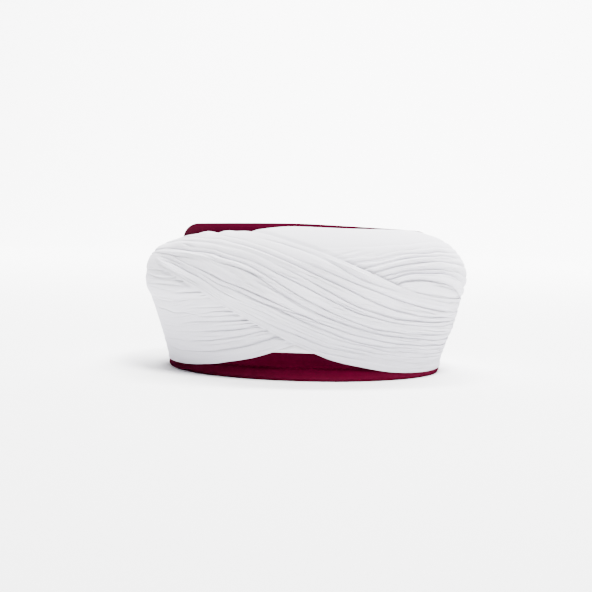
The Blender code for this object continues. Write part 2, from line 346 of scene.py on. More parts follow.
def felt_cap():
    section = cap_section()
    angle = angles_round(CAP_COLUMNS)[None, :]
    radius = np.repeat(section[:, :1], CAP_COLUMNS, axis=1)
    height = np.repeat(section[:, 1:], CAP_COLUMNS, axis=1)
    outside = (np.arange(len(section)) < np.argmin(section[:, 0] > 1e-9))[:, None]
    # Between two stitches the band swells a little, and the felt is never quite even.
    turn = np.radians(angle)
    swell = BAND_SWELL * np.cos(turn * STITCHES)
    on_band = np.exp(-(((height - BAND_MIDDLE) / BAND_HALF) ** 2)) * outside
    uneven = np.sin(3.0 * turn + 60.0 * height) + 0.7 * np.sin(7.0 * turn - 95.0 * height + 1.3)
    radius = radius + (swell * on_band + WALL_UNEVEN * uneven) * (radius > 0.2 * CAP_FLAT)
    pressed = np.sin(2.0 * turn + 1.1) * np.sin(math.pi * np.minimum(radius / CAP_FLAT, 1.0))
    height = height + CROWN_PRESSED * pressed * (height > CROWN_HEIGHT - CORNER_RADIUS)
    return rolled_ring("felt_cap_shell", place(angle, radius, height), felt_finish())


def hem_stitches(finish):
    """The hem's stitches: short thick threads that lie in the groove, a stitch's length apart."""
    wall_top = CROWN_HEIGHT - CORNER_RADIUS
    radius = mix(CAP_WIDTH / 2.0, CAP_TOP_WIDTH / 2.0, HEM_HEIGHT / wall_top) - STITCH_SUNK
    up = Vector((0.0, 0.0, 1.0))
    lean = Matrix.Rotation(math.radians(STITCH_LEAN), 4, "Z")
    mesh = bmesh.new()
    for angle in 360.0 * (np.arange(STITCHES) + 0.5) / STITCHES:
        before, here, after = (Vector(place(angle + step, radius, HEM_HEIGHT)) for step in (-1.0, 0.0, 1.0))
        along = (after - before).normalized()
        turned = Matrix((along, up, along.cross(up))).transposed().to_4x4()
        shape = Matrix.Translation(here) @ turned @ lean @ Matrix.Diagonal((*STITCH, 1.0))
        bmesh.ops.create_uvsphere(mesh, u_segments=8, v_segments=5, radius=1.0, matrix=shape)
    bmesh.ops.recalc_face_normals(mesh, faces=mesh.faces)
    return finished(bpy.data.meshes.new("hem_stitches"), mesh, finish)


cap = felt_cap()
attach(cap, "root")
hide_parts("felt_cap")
stitches = hem_stitches(thread_finish())
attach(stitches, "root")


# The muslin wound on first: several rounds of fine white cotton, pulled tight, which build the cap out.
# Nearly all of it is covered, and a small level stretch of its lower edge shows in front.
CLOTH_COLUMNS = 400
FRONT_CLOSER = 24.0
CLOTH_FOOT = 2.0 * MM
WIDEST_HEIGHT = 60.0 * MM
WIDEST_STAND = 17.7 * MM
SHOULDER_HEIGHT = 29.0 * MM
SHOULDER_START = -16.0
CROWN_CLEAR = 1.8 * MM
PASS_THICK = 3.4 * MM
PASS_LEAST = 0.7 * MM
PASS_SHARE = 0.30
EDGE_TAPER = 12.0 * MM
FALLING_END = 2.5 * MM
RISING_END = 1.0 * MM
GAP = 0.35 * MM
GAP_SHARE = 0.035
FIRST_LAYER_FOOT = 17.4 * MM
FIRST_LAYER_HEAD = 91.0 * MM
END_SETTLES = 1.2 * MM
SIDE_ANGLE = 86.0
SIDE_ANGLE_HALF = 32.0
LINE_STEPS = 900
LINE_SOFTENING = 31

# How far the cloth's outer face stands out from the cap's rim, going up the wall, in mm.
WALL = ((2.0, 0.5), (8.0, 1.0), (22.0, 5.2), (37.0, 10.2), (47.0, 14.0))

# How the passes press on each other on the right, as (mm up the cloth, half that stretch, mm pressed in);
# below 0 the cloth stands out a little.
SIDE_PRESSED = ((54.5, 9.0, 2.6), (30.0, 9.0, -1.0))

# The top of the cloth round the head, as (angle, rise): how many mm higher than the shoulder it reaches.
TOP = (
    (-150, -2.0), (-90, -5.8), (-70, -3.4), (-55, 0.4), (-30, 4.0), (-5, 8.1), (15, 8.0),
    (35, 8.0), (50, 7.8), (65, 4.8), (90, -0.4), (120, -1.2), (170, -1.2),
)

# Where each pass runs, in mm up the cloth from its foot, at angles round the head.
COURSE_COLUMNS = ("angle", "falling_low", "falling_top", "rising_low", "rising_top")
COURSE = (
    (-150, 50.0, 103.0, 8.0, 92.0),
    (-120, 62.0, 103.0, 3.0, 80.0),
    (-90, 65.0, 103.0, 2.5, 74.0),
    (-60, 66.5, 103.0, 2.8, 76.0),
    (-40, 57.0, 105.0, 5.5, 88.0),
    (-30, 46.5, 101.5, 8.5, 96.0),
    (-20, 37.0, 98.0, 12.0, 102.0),
    (0, 19.4, 86.5, 25.0, 110.0),
    (10, 12.4, 79.6, 33.5, 110.0),
    (20, 8.3, 71.5, 42.0, 110.0),
    (40, 3.0, 58.0, 50.0, 110.0),
    (60, 1.5, 53.5, 47.0, 110.0),
    (90, 1.5, 52.0, 45.0, 108.0),
    (120, 2.5, 54.0, 44.0, 106.0),
    (150, 8.0, 66.0, 34.0, 105.0),
    (180, 24.0, 86.0, 20.0, 103.0),
)
MUSLIN = (0.802, 0.789, 0.832)
# A greyer muslin: the mottle, and painted shade at the foot and on the first rounds.
MUSLIN_MOTTLE_AND_SHADE = (0.695, 0.685, 0.750)
THREADS_PER_METRE = 2100.0
WEAVE_DEPTH = 0.18 * MM
PLEATS_ALONG = 11.0
PLEAT_DEPTH = 0.9 * MM
UNEVEN_WAVES = 7

# How many of the muslin's patches and specks lie in a metre, and its slubs along and across a thread.
MUSLIN_PATCHES = 22.0
MUSLIN_SPECKS = 240.0
SLUBS_ALONG = 45.0
SLUBS_ACROSS = 1300.0

# Each of these is two places and what the shade or the fine pleats are at them: painted shade, greyer
# towards the foot, and the pleats fading out towards the top and stronger from the left to the right.
SHADED_FOOT = (10.0 * MM, 75.0 * MM, 0.95, 0.0)
PLEATS_END = (86.0 * MM, 68.0 * MM, 0.0, 1.0)
PLEATS_GROW = (-75.0 * MM, -35.0 * MM, 0.55, 1.6)

# The first rounds lie this deep beside the edge of a pass and where they are bare, with small creases.
UNDER_ROWS = 41
UNDER_AT_PASS = 1.35 * MM
UNDER_BARE = 0.5 * MM
UNDER_CREASE = 0.28 * MM
UNDER_CURL = 1.4 * MM

# The columns lie closer together in front, where the folds are drawn finest.
angles = angles_round(CLOTH_COLUMNS)
angles = angles - FRONT_CLOSER * np.sin(np.radians(angles))
every_column = np.arange(CLOTH_COLUMNS)[None, :]


def round_the_head(at, knots, values, sweeping=False):
    """The smooth curve through values at some angles, which closes on itself after 360 degrees.

    A sweeping curve bends less at its knots, and may pass a little beyond them.
    """
    knots = np.asarray(knots, float)
    values = np.asarray(values, float)
    widths = np.diff(np.append(knots, knots[0] + 360.0))
    slopes = np.diff(np.append(values, values[0])) / widths
    before = np.roll(slopes, 1)
    same_way = before * slopes > 0.0
    tangents = np.where(same_way, 2.0 * before * slopes / np.where(same_way, before + slopes, 1.0), 0.0)
    if sweeping:
        tangents = (before + slopes) / 2.0
    turned = (np.asarray(at, float) - knots[0]) % 360.0 + knots[0]
    row = np.searchsorted(knots, turned, side="right") - 1
    following = (row + 1) % len(knots)
    share = (turned - knots[row]) / widths[row]
    rest = 1.0 - share
    return (
        values[row] * (1.0 + 2.0 * share) * rest * rest
        + values[following] * (3.0 - 2.0 * share) * share * share
        + widths[row] * share * rest * (tangents[row] * rest - tangents[following] * share)
    )


def even_line(points):
    """A line of (radius, height) points with even steps, its kinks softened, and its length."""
    points = np.asarray(points, float)
    run = np.concatenate([[0.0], np.cumsum(np.hypot(*np.diff(points, axis=0).T))])
    at = np.linspace(0.0, run[-1], LINE_STEPS + 1)
    window = np.hanning(2 * LINE_SOFTENING + 3)[1:-1]
    line = []
    for axis in (0, 1):
        values = np.interp(at, run, points[:, axis])
        start = 2.0 * values[0] - values[LINE_SOFTENING:0:-1]
        end = 2.0 * values[-1] - values[-2:-LINE_SOFTENING - 2:-1]
        padded = np.concatenate([start, values, end])
        line.append(np.convolve(padded, window / window.sum(), mode="valid"))
    return np.stack(line, axis=1), run[-1]


def cloth_line(rise):
    """The cloth's outer face from its foot to where it ends on the crown."""
    rim = CAP_WIDTH / 2.0
    widest = rim + WIDEST_STAND
    bend = CORNER_RADIUS + CROWN_CLEAR
    end_height = WIDEST_HEIGHT + SHOULDER_HEIGHT + rise
    over = np.clip((end_height - CROWN_HEIGHT + CORNER_RADIUS) / bend, 0.0, 1.0)
    end_radius = CAP_FLAT + bend * math.sqrt(1.0 - over * over)
    line = [(rim + out * MM, height * MM) for height, out in WALL]
    for turn in np.radians(np.linspace(SHOULDER_START, 90.0, 41)):
        up = (SHOULDER_HEIGHT + rise * max(math.sin(turn), 0.0)) * math.sin(turn)
        line.append((end_radius + (widest - end_radius) * math.cos(turn), WIDEST_HEIGHT + up))
    return line


def cap_line_under(cloth):
    """The cap's own line under the cloth, ending where the cloth ends."""
    centre = (CAP_FLAT, CROWN_HEIGHT - CORNER_RADIUS)
    last = max(math.atan2(cloth[-1][1] - centre[1], cloth[-1][0] - centre[0]), 0.05)
    foot = mix(CAP_WIDTH / 2.0, CAP_TOP_WIDTH / 2.0, CLOTH_FOOT / centre[1])
    return [(foot, CLOTH_FOOT)] + arc(centre, CORNER_RADIUS, 0.0, math.degrees(last), 9)


outer_lines = []
inner_lines = []
cloth_lengths = []
for rise in round_the_head(angles, *zip(*TOP)) * MM:
    outer = cloth_line(rise)
    line, length = even_line(outer)
    outer_lines.append(line)
    inner_lines.append(even_line(cap_line_under(outer))[0])
    cloth_lengths.append(length)
outer_lines = np.stack(outer_lines, axis=1)
inner_lines = np.stack(inner_lines, axis=1)
cloth_lengths = np.array(cloth_lengths)


def lines_at(up):
    """The points of the outer line and of the cap's line at lengths up the cloth, a column at a time."""
    at = np.clip(up / cloth_lengths, 0.0, 1.0) * LINE_STEPS
    step = np.minimum(at.astype(int), LINE_STEPS - 1)
    part = (at - step)[..., None]
    outer = mix(outer_lines[step, every_column], outer_lines[step + 1, every_column], part)
    inner = mix(inner_lines[step, every_column], inner_lines[step + 1, every_column], part)
    return outer, inner


def room(up):
    """How thick all the cloth is together, at lengths up the cloth."""
    outer, inner = lines_at(up)
    return np.linalg.norm(outer - inner, axis=-1)


def gap(up):
    return GAP + GAP_SHARE * room(up)


def pressed_in(up):
    """How far all the cloth is pressed in: at its end on the crown, and on the right between the passes."""
    total = END_SETTLES * blend(up, cloth_lengths - 8.0 * MM, cloth_lengths - 1.0 * MM)
    on_side = np.exp(-(((angles - SIDE_ANGLE) / SIDE_ANGLE_HALF) ** 2))
    for middle, half, deep in SIDE_PRESSED:
        total = total + deep * MM * on_side * np.exp(-(((up / MM - middle) / half) ** 2))
    return total


def cloth_points(up, depth):
    """Points at lengths up the cloth and depths below its outer face."""
    outer, inner = lines_at(up)
    space = np.linalg.norm(outer - inner, axis=-1)
    part = mix(depth, space, pressed_in(up) / space) / space
    line = mix(outer, inner, part[..., None])
    return place(angles, line[..., 0], line[..., 1])


def course(name, at=angles):
    """Where a pass's edge lies up the cloth, at angles: no pass goes past the cloth's end on the crown."""
    table = np.array(COURSE)
    values = table[:, COURSE_COLUMNS.index(name)]
    end = FALLING_END if name == "falling_top" else RISING_END
    ends = np.interp(at, angles, cloth_lengths, period=360.0) - end
    return np.minimum(round_the_head(at, table[:, 0], values) * MM, ends)


def waves(seed, strength, up):
    """A slow unevenness over the cloth, the same each time, that closes round the head."""
    draw = np.random.default_rng(seed)
    total = np.zeros(np.broadcast(up, angles).shape)
    for _ in range(UNEVEN_WAVES):
        around = draw.integers(1, 9)
        along = draw.uniform(-90.0, 90.0)
        total += np.sin(around * np.radians(angles) + along * up + draw.uniform(0.0, 6.3))
    return strength * total / math.sqrt(UNEVEN_WAVES)


def weave_group():
    """Plain weave on a flat map in metres: threads over and under, with slubs along them."""
    made, start, end = group("plain weave", ["Threads"], ["Height", "Slubs"])
    parts = node(made, "ShaderNodeSeparateXYZ", Vector=start.outputs["Vector"])
    turns = maths(made, "MULTIPLY", start.outputs["Threads"], math.pi)
    over = [maths(made, "SINE", maths(made, "MULTIPLY", parts.outputs[axis], turns)) for axis in "XY"]
    raised = maths(made, "MULTIPLY", maths(made, "MULTIPLY", *over), 0.5)
    made.links.new(maths(made, "ADD", raised, 0.5), end.inputs["Height"])
    slubs = []
    for scale in ((SLUBS_ALONG, SLUBS_ACROSS, 1.0), (SLUBS_ACROSS, SLUBS_ALONG, 1.0)):
        stretch = node(made, "ShaderNodeVectorMath", operation="MULTIPLY", Vector=start.outputs["Vector"])
        stretch.inputs[1].default_value = scale
        noise = node(made, "ShaderNodeTexNoise", Vector=stretch.outputs[0], Scale=1.0, Detail=2.0,
                     Roughness=0.5)
        slubs.append(noise.outputs["Fac"])
    made.links.new(maths(made, "MULTIPLY", maths(made, "ADD", *slubs), 0.5), end.inputs["Slubs"])
    return made


def pleat_group():
    """Fine pleats on a map that follows the folds: a noise drawn out along them, with sharp valleys."""
    made, start, end = group("fine pleats", ["Along", "Across"], ["Height"])
    parts = node(made, "ShaderNodeSeparateXYZ", Vector=start.outputs["Vector"])
    along = maths(made, "MULTIPLY", parts.outputs["X"], start.outputs["Along"])
    across = maths(made, "MULTIPLY", parts.outputs["Y"], start.outputs["Across"])
    stretched = node(made, "ShaderNodeCombineXYZ", X=along, Y=across)
    noise = node(made, "ShaderNodeTexNoise", Vector=stretched.outputs[0], Scale=1.0, Detail=2.0,
                 Roughness=0.55, Distortion=0.25)
    ridge = maths(made, "ABSOLUTE", maths(made, "SUBTRACT", noise.outputs["Fac"], 0.5))
    made.links.new(maths(made, "POWER", maths(made, "MULTIPLY", ridge, 3.0), 0.7), end.inputs["Height"])
    return made


weave = weave_group()
fine_pleats = pleat_group()


def muslin_finish(name, colour, shade, pleats):
    """White cotton muslin: a fine plain weave with slubs, faint cool patches, and fine pleats on the wall.

    It has painted shade: a little greyer at its foot, and darker between its threads. The fine pleats fade
    out above the shoulder.
    """
    made, tree, shader = new_material(name, 0.88, 0.12, 0.5, (1.0, 1.0, 1.0))
    place_on = node(tree, "ShaderNodeTexCoord")
    where = node(tree, "ShaderNodeSeparateXYZ", Vector=place_on.outputs["Object"])
    woven = node(tree, "ShaderNodeGroup", node_tree=weave, Vector=place_on.outputs["UV"],
                 Threads=THREADS_PER_METRE)
    threads, slubs = woven.outputs["Height"], woven.outputs["Slubs"]
    soft = node(tree, "ShaderNodeGroup", node_tree=mottle, Vector=place_on.outputs["Object"],
                Wide=MUSLIN_PATCHES, Small=MUSLIN_SPECKS)
    patches = soft.outputs["Patches"]

    # Painted shade: the cloth is darker in the gaps between its threads.
    between = maths(tree, "SUBTRACT", 1.0, threads)
    share = weighed_sum(tree, (patches, 0.5), (slubs, 0.55), (between, 0.22))
    # Painted shade: the cloth turns greyer towards its foot.
    shade_at_foot = ramp(tree, where.outputs["Z"], *SHADED_FOOT, smooth=False)
    share = maths(tree, "ADD", maths(tree, "SUBTRACT", share, 0.42), shade_at_foot)
    tree.links.new(mixed_colour(tree, share, colour, shade), shader.inputs["Base Color"])

    on_folds = node(tree, "ShaderNodeUVMap", uv_map="folds")
    fine = node(tree, "ShaderNodeGroup", node_tree=fine_pleats, Vector=on_folds.outputs[0],
                Along=PLEATS_ALONG, Across=pleats)
    drawn = maths(tree, "MULTIPLY", patches, ramp(tree, where.outputs["X"], *PLEATS_GROW))
    drawn = maths(tree, "MULTIPLY", drawn, ramp(tree, where.outputs["Z"], *PLEATS_END))
    raised = maths(tree, "MULTIPLY", fine.outputs["Height"], drawn)
    pleated = node(tree, "ShaderNodeBump", Height=raised, Strength=1.0, Distance=PLEAT_DEPTH)
    height = maths(tree, "ADD", maths(tree, "MULTIPLY", threads, 0.6), slubs)
    bump = node(tree, "ShaderNodeBump", Height=height, Normal=pleated.outputs["Normal"],
                Strength=0.22, Distance=WEAVE_DEPTH)
    tree.links.new(bump.outputs["Normal"], shader.inputs["Normal"])
    return made


def rolled_edge(to_edge, reach, thick):
    """How far a face turns in beside its edge, which is rolled."""
    curl = np.clip(1.0 - to_edge / reach, 0.0, 1.0)
    return 0.5 * thick * (1.0 - np.sqrt(1.0 - curl * curl))


def under_wrap():
    edges = np.linspace(0.0, 1.0, UNDER_ROWS)
    rows = mix(edges, 0.5 - 0.5 * np.cos(math.pi * edges), 0.6)[:, None]
    up = mix(FIRST_LAYER_FOOT, FIRST_LAYER_HEAD, rows) + np.zeros((1, CLOTH_COLUMNS))
    outer = 2.0 * (np.minimum(PASS_THICK, PASS_SHARE * room(up)) + gap(up))
    inner = room(up) - gap(up)
    # Where no pass covers it, the cloth comes out almost to their level.
    bare = np.minimum(course("rising_low"), course("falling_low")) - up
    outer = mix(outer, UNDER_AT_PASS, blend(bare, -2.5 * MM, -0.4 * MM))
    outer = mix(outer, UNDER_BARE, blend(bare, 0.2 * MM, 2.6 * MM))
    creases = UNDER_CREASE * (np.abs(np.sin(up * 900.0 - np.radians(angles) * 7.0)) - 0.5)
    outer = outer - creases * blend(bare, -2.0 * MM, 1.0 * MM)
    to_edge = np.minimum(up - FIRST_LAYER_FOOT, FIRST_LAYER_HEAD - up)
    outer = outer + rolled_edge(to_edge, UNDER_CURL, inner - outer)
    back = np.array([0.97, 0.75, 0.5, 0.25, 0.03])[:, None]
    up_back = mix(FIRST_LAYER_FOOT, FIRST_LAYER_HEAD, back) + np.zeros((1, CLOTH_COLUMNS))
    inner = room(up_back) - gap(up_back)
    points = np.concatenate([cloth_points(up, outer), cloth_points(up_back, inner)])
    # The first rounds take the greyer muslin as their own colour: painted shade where they lie sunk under
    # the passes.
    finish = muslin_finish("muslin, first rounds", MUSLIN_MOTTLE_AND_SHADE, MUSLIN, 12.0)
    return rolled_ring("under_wrap_cloth", points, finish)


first_rounds = under_wrap()
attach(first_rounds, "root")
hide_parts("under_wrap")


# The rising pass: a wide strip of the same muslin, gathered into pleats that run along it.
# It goes up from the left side to the right, and the falling pass crosses over it in front.
# It is as thick as the rounds that lie in it, and its folds open where it comes out from under.
FOLD_PLACES = (-60, -40, -20, 0, 20, 40, 60, 80)
DEPTH_PLACES = (-75, -45, -15, 20, 45, 75)
CREST_PART = 0.30
LEAST_APART = 0.012
CREASE_ABOVE = 1.05 * MM
CREASE_BELOW = 0.55 * MM
CREASE_BROAD = 2.8 * MM
CREASE_SOFT = 0.28
FOLD_DEEPER = 2.5
FOLD_WANDER = 0.005
DEPTH_WANDER = 0.35
MIDDLE_DEEPER = 0.5
MIDDLE_ANGLE = 22.0
MIDDLE_HALF = 26.0
CREASE_DEEPER = 1.5
CREASE_WIDER = 1.45
EDGE_CURL = 0.9 * MM
CAP_TOUCH = 0.55 * MM
SUNK_MOST = 0.7

# The least and the most of each small pleat: half its length in degrees, its width and its drift in mm.
PLEAT_HALF = (5.0, 24.0)
PLEAT_WIDE = (0.4, 0.8)
PLEAT_DRIFT = (-1.6, 1.6)

# A row for each fold of the rising pass, from the lowest up: where its crease runs, in mm up the cloth
# at the angles of FOLD_PLACES, and how deep it is, in mm at the angles of DEPTH_PLACES.
RISING_FOLDS = (
    ((12.5, 14.0, 21.5, 34.0, 46.0, 54.0, 50.0, 47.0), (0.2, 0.5, 1.3, 0.4, 0.2, 0.2)),
    ((19.0, 21.5, 28.0, 41.0, 52.0, 58.0, 54.0, 49.0), (0.1, 0.2, 0.8, 0.4, 0.2, 0.2)),
    ((25.0, 27.5, 33.0, 48.0, 60.0, 66.0, 62.3, 52.5), (0.0, 0.2, 0.8, 1.0, 2.1, 0.8)),
    ((31.5, 34.0, 38.5, 54.0, 62.8, 70.4, 67.8, 59.8), (0.0, 0.1, 0.8, 1.5, 2.1, 0.8)),
    ((39.0, 40.0, 44.5, 58.0, 66.0, 72.9, 71.6, 66.4), (0.1, 0.1, 0.6, 1.8, 1.4, 0.6)),
    ((45.5, 49.0, 56.0, 63.0, 69.9, 77.5, 77.3, 73.3), (0.1, 0.2, 0.6, 2.4, 1.5, 0.5)),
    ((54.0, 54.3, 63.0, 68.0, 73.8, 81.4, 81.5, 79.5), (0.1, 0.2, 0.6, 2.4, 1.1, 0.4)),
    ((61.0, 61.4, 70.0, 73.0, 77.6, 84.2, 84.6, 83.5), (0.2, 0.2, 0.4, 2.3, 1.1, 0.5)),
    ((66.0, 68.0, 77.0, 79.0, 81.5, 87.0, 88.0, 88.0), (0.0, 0.1, 0.1, 0.2, 0.1, 0.3)),
    ((70.0, 76.0, 87.0, 87.0, 88.0, 91.0, 93.0, 94.0), (0.0, 0.0, 0.0, 0.1, 0.1, 0.3)),
)

# Short creases between them, each as mm deep, mm wide, and (angle, mm up the cloth) along it.
RISING_CREASES = (
    (0.5, 0.45, ((-44, 42.8), (-27, 46.2), (-22, 47.5))),
    (0.4, 0.40, ((-38, 40.8), (-26, 43.4), (-20, 45.0))),
    (0.7, 0.50, ((-42, 37.2), (-23, 41.2), (-17, 43.0))),
    (0.4, 0.45, ((-46, 33.6), (-30, 35.6), (-20, 38.2), (-14, 40.5))),
    (0.6, 0.45, ((-36, 31.6), (-19, 35.8), (-12, 38.0))),
    (0.6, 0.50, ((-44, 27.8), (-27, 30.3), (-16, 33.5), (-9, 36.0))),
    (0.5, 0.45, ((-50, 23.7), (-30, 26.2), (-14, 31.0), (-6, 34.0))),
    (0.4, 0.45, ((-56, 20.8), (-30, 23.8), (-13, 29.0), (-4, 32.0))),
    (0.7, 0.50, ((-38, 20.4), (-24, 23.3), (-12, 27.3), (-2, 31.0))),
    (0.5, 0.45, ((-46, 18.0), (-28, 21.0), (-10, 25.8), (0, 29.0))),
    (0.4, 0.45, ((-66, 57.2), (-50, 57.6), (-44, 57.0))),
    (0.4, 0.50, ((-54, 52.4), (-46, 53.2), (-37, 55.4), (-32, 57.0))),
    (0.4, 0.45, ((-56, 48.6), (-41, 49.9), (-34, 51.5))),
    (0.4, 0.40, ((-66, 61.2), (-50, 61.9))),
    (0.3, 0.40, ((-72, 46.0), (-54, 45.0))),
    (0.9, 0.45, ((12, 72.0), (21, 74.9), (28, 77.2), (36, 79.4))),
    (0.7, 0.45, ((16, 69.0), (25, 71.2), (36, 74.8), (48, 75.6))),
    (-1.3, 1.10, ((20, 63.6), (30, 67.2), (38, 68.6), (48, 68.6), (58, 66.2), (67, 61.9), (76, 55.6))),
    (0.7, 1.30, ((34, 62.0), (50, 62.6), (60, 60.2), (68, 56.6), (78, 52.0))),
    (0.7, 0.50, ((46, 62.4), (54, 61.9), (61, 60.4), (67, 58.0))),
    (-0.5, 0.60, ((20, 72.8), (26, 74.6), (34, 77.8), (46, 79.3))),
    (0.5, 0.45, ((46, 80.4), (70, 79.0))),
    (0.4, 0.50, ((6, 79.0), (12, 82.3), (20, 86.0))),
    (0.4, 0.50, ((10, 77.0), (17, 81.5), (26, 85.0))),
)

# How thick each pass is at its lower and its upper edge, in mm at the angles of EDGE_PLACES.
EDGE_PLACES = (-130, -100, -45, -25, 0, 40, 60, 110, 150)
EDGES = {
    "rising": ((0.8,) * 9, (0.8,) * 9),
    "falling": (
        (0.8, 0.22, 0.22, 0.4, 0.6, 0.9, 0.9, 0.9, 0.9),
        (0.8, 0.8, 0.8, 0.8, 0.8, 0.8, 0.4, 0.4, 0.8),
    ),
}


def thickness(up, pass_name):
    """A pass is thin at its two edges, and never takes more than its share of the room."""
    to_low = up - course(pass_name + "_low")
    to_top = course(pass_name + "_top") - up
    low_edge, top_edge = (round_the_head(angles, EDGE_PLACES, thick) * MM for thick in EDGES[pass_name])
    edge = np.where(to_low < to_top, low_edge, top_edge)
    full = mix(edge, PASS_THICK, blend(np.minimum(to_low, to_top), 0.0, EDGE_TAPER))
    return np.minimum(full, np.maximum(PASS_SHARE * room(up), PASS_LEAST))


def wander(draw, least, most):
    """A slow change round the head, between about -1 and 1, that closes on itself."""
    total = np.zeros(CLOTH_COLUMNS)
    for _ in range(4):
        total += np.sin(draw.integers(least, most) * np.radians(angles) + draw.uniform(0.0, 6.3))
    return total / 2.8


def fold_shares(table, pass_name, seed):
    """Each fold's crease as a share of the pass's width at every angle, kept in order and apart."""
    draw = np.random.default_rng(seed)
    at = np.array(FOLD_PLACES, float)
    low = course(pass_name + "_low", at)
    top = course(pass_name + "_top", at)
    shares = []
    least = np.zeros(CLOTH_COLUMNS)
    for number, (places, _) in enumerate(table):
        share = round_the_head(angles, at, (np.array(places) * MM - low) / (top - low), sweeping=True)
        share = share + FOLD_WANDER * wander(draw, 9, 26)
        most = 1.0 - LEAST_APART * (len(table) - number)
        share = np.clip(share, least + LEAST_APART, most)
        shares.append(share)
        least = share
    return np.stack(shares)


def pass_rows(shares, between):
    """The outer face's rows as shares of the width, closer together beside each crease."""
    stops = np.concatenate([np.zeros((1, CLOTH_COLUMNS)), shares, np.ones((1, CLOTH_COLUMNS))])
    even = np.arange(between) / between
    steps = mix(even, 0.5 - 0.5 * np.cos(math.pi * even), 0.5)
    rows = [mix(stops[i], stops[i + 1], step) for i in range(len(stops) - 1) for step in steps]
    rows.append(stops[-1])
    return np.stack(rows)


def fold_relief(table, shares, rows, width, seed):
    """How far the cloth stands out between its creases, and how far it sinks in them."""
    draw = np.random.default_rng(seed)
    in_middle = np.exp(-(((angles - MIDDLE_ANGLE) / MIDDLE_HALF) ** 2))
    stronger = FOLD_DEEPER * (1.0 + MIDDLE_DEEPER * in_middle)
    depths = []
    for _, deep in table:
        changing = 1.0 + DEPTH_WANDER * wander(draw, 5, 18)
        depths.append(round_the_head(angles, DEPTH_PLACES, deep) * MM * stronger * changing)
    depths = np.stack(depths)
    sunk = np.zeros(rows.shape)
    for share, deep in zip(shares, depths):
        away = (rows - share) * width
        reach = np.where(away > 0.0, CREASE_ABOVE, CREASE_BELOW)
        sharp = np.exp(-np.abs(away) / reach)
        soft = np.exp(-np.abs(away) / CREASE_BROAD)
        sunk += (deep * mix(sharp, soft, CREASE_SOFT)) ** 2
    none = np.zeros((1, CLOTH_COLUMNS))
    stops = np.concatenate([none, shares, none + 1.0])
    crests = np.concatenate([none, depths, none])
    crest = np.empty(rows.shape)
    for column in range(CLOTH_COLUMNS):
        crest[:, column] = np.interp(rows[:, column], stops[:, column], crests[:, column])
    return CREST_PART * crest, np.sqrt(sunk)


def short_creases(table, up):
    """The creases and ridges of a table, each fading at both its ends."""
    sunk = np.zeros(up.shape)
    for deep, wide, places in table:
        along = np.array([at for at, _ in places], float)
        heights = np.array([height for _, height in places]) * MM
        near = (angles > along[0]) & (angles < along[-1])
        share = (angles[near] - along[0]) / (along[-1] - along[0])
        fade = np.sin(math.pi * share) ** 0.7
        line = np.polynomial.Polynomial.fit(along, heights, min(len(along) - 1, 3))(angles[near])
        off = np.abs(up[:, near] - line) / (CREASE_WIDER * wide * MM)
        sunk[:, near] += CREASE_DEEPER * deep * MM * fade * np.exp(-off ** 1.6)
    return sunk


def small_pleats(seed, up, count, deepest):
    """Many short fine pleats along the folds, the same each time: thin valleys that fade at both ends."""
    draw = np.random.default_rng(seed)
    sunk = np.zeros(up.shape)
    for _ in range(count):
        middle = draw.uniform(-180.0, 180.0)
        share = draw.uniform(0.03, 0.97)
        column = np.abs(angles - middle).argmin()
        across = (up[:, column] - up[0, column]) / (up[-1, column] - up[0, column])
        row = np.abs(across - share).argmin()
        half = draw.uniform(*PLEAT_HALF)
        deep = deepest * draw.uniform(0.2, 1.0)
        reach = draw.uniform(*PLEAT_WIDE) * MM
        drift = draw.uniform(*PLEAT_DRIFT) * MM
        away = (angles - middle + 180.0) % 360.0 - 180.0
        near = np.abs(away) < half
        along = away[near] / half
        fade = (1.0 - along ** 2) ** 1.5
        off = (up[:, near] - up[row, near] - drift * along) / reach
        sunk[:, near] = np.maximum(sunk[:, near], deep * fade * np.exp(-np.abs(off) ** 1.4))
    return sunk


def curled(up, pass_name):
    """How far a pass's outer face turns in beside its edges."""
    to_edge = np.minimum(up - course(pass_name + "_low"), course(pass_name + "_top") - up)
    return rolled_edge(to_edge, EDGE_CURL, thickness(up, pass_name))


def down_to_cap(up, depth, covered_to):
    """A pass's inner face: above what lies under it, it turns in until it rests on the cap."""
    above = blend(up, covered_to + 1.0 * MM, covered_to + 4.0 * MM)
    return mix(depth, np.maximum(depth, room(up) - CAP_TOUCH), above)


def folded(pass_name, folds, creases, seed, between):
    """How far up the cloth a pass's rows lie, and how far its crests stand out and its creases sink."""
    shares = fold_shares(folds, pass_name, seed)
    rows = pass_rows(shares, between)
    low, top = course(pass_name + "_low"), course(pass_name + "_top")
    up = mix(low, top, rows)
    crest, sunk = fold_relief(folds, shares, rows, top - low, seed)
    return up, crest, sunk + short_creases(creases, up)


def wound_pass(name, pass_name, up, depth, back_depth, finish):
    """A pass as a closed ring: its outer face with the folds, and a plain inner face."""
    back = np.linspace(0.97, 0.03, 12)[:, None]
    up_back = mix(course(pass_name + "_low"), course(pass_name + "_top"), back)
    points = np.concatenate([cloth_points(up, depth), cloth_points(up_back, back_depth(up_back))])
    return rolled_ring(name, points, finish)


# It starts to dip this far before the falling pass's edge, is down this far before it, and lies this
# far below it. Its folds fade out between the last two lengths under that edge.
COVER_START = 3.5 * MM
COVER_END = 0.6 * MM
COVER_GAP = 0.18 * MM
HIDDEN_FROM = 0.5 * MM
HIDDEN_TO = 4.0 * MM

# How many rows lie between two folds, how many small pleats there are and the deepest of them, how
# uneven the face is, and the lengths up the cloth between which the small pleats fade.
RISING_SEED = 11
RISING_ROWS = 20
RISING_SMALL = (150, 0.8 * MM)
RISING_SLOW = 0.22 * MM
PLAIN_TOP = (84.0 * MM, 90.0 * MM)


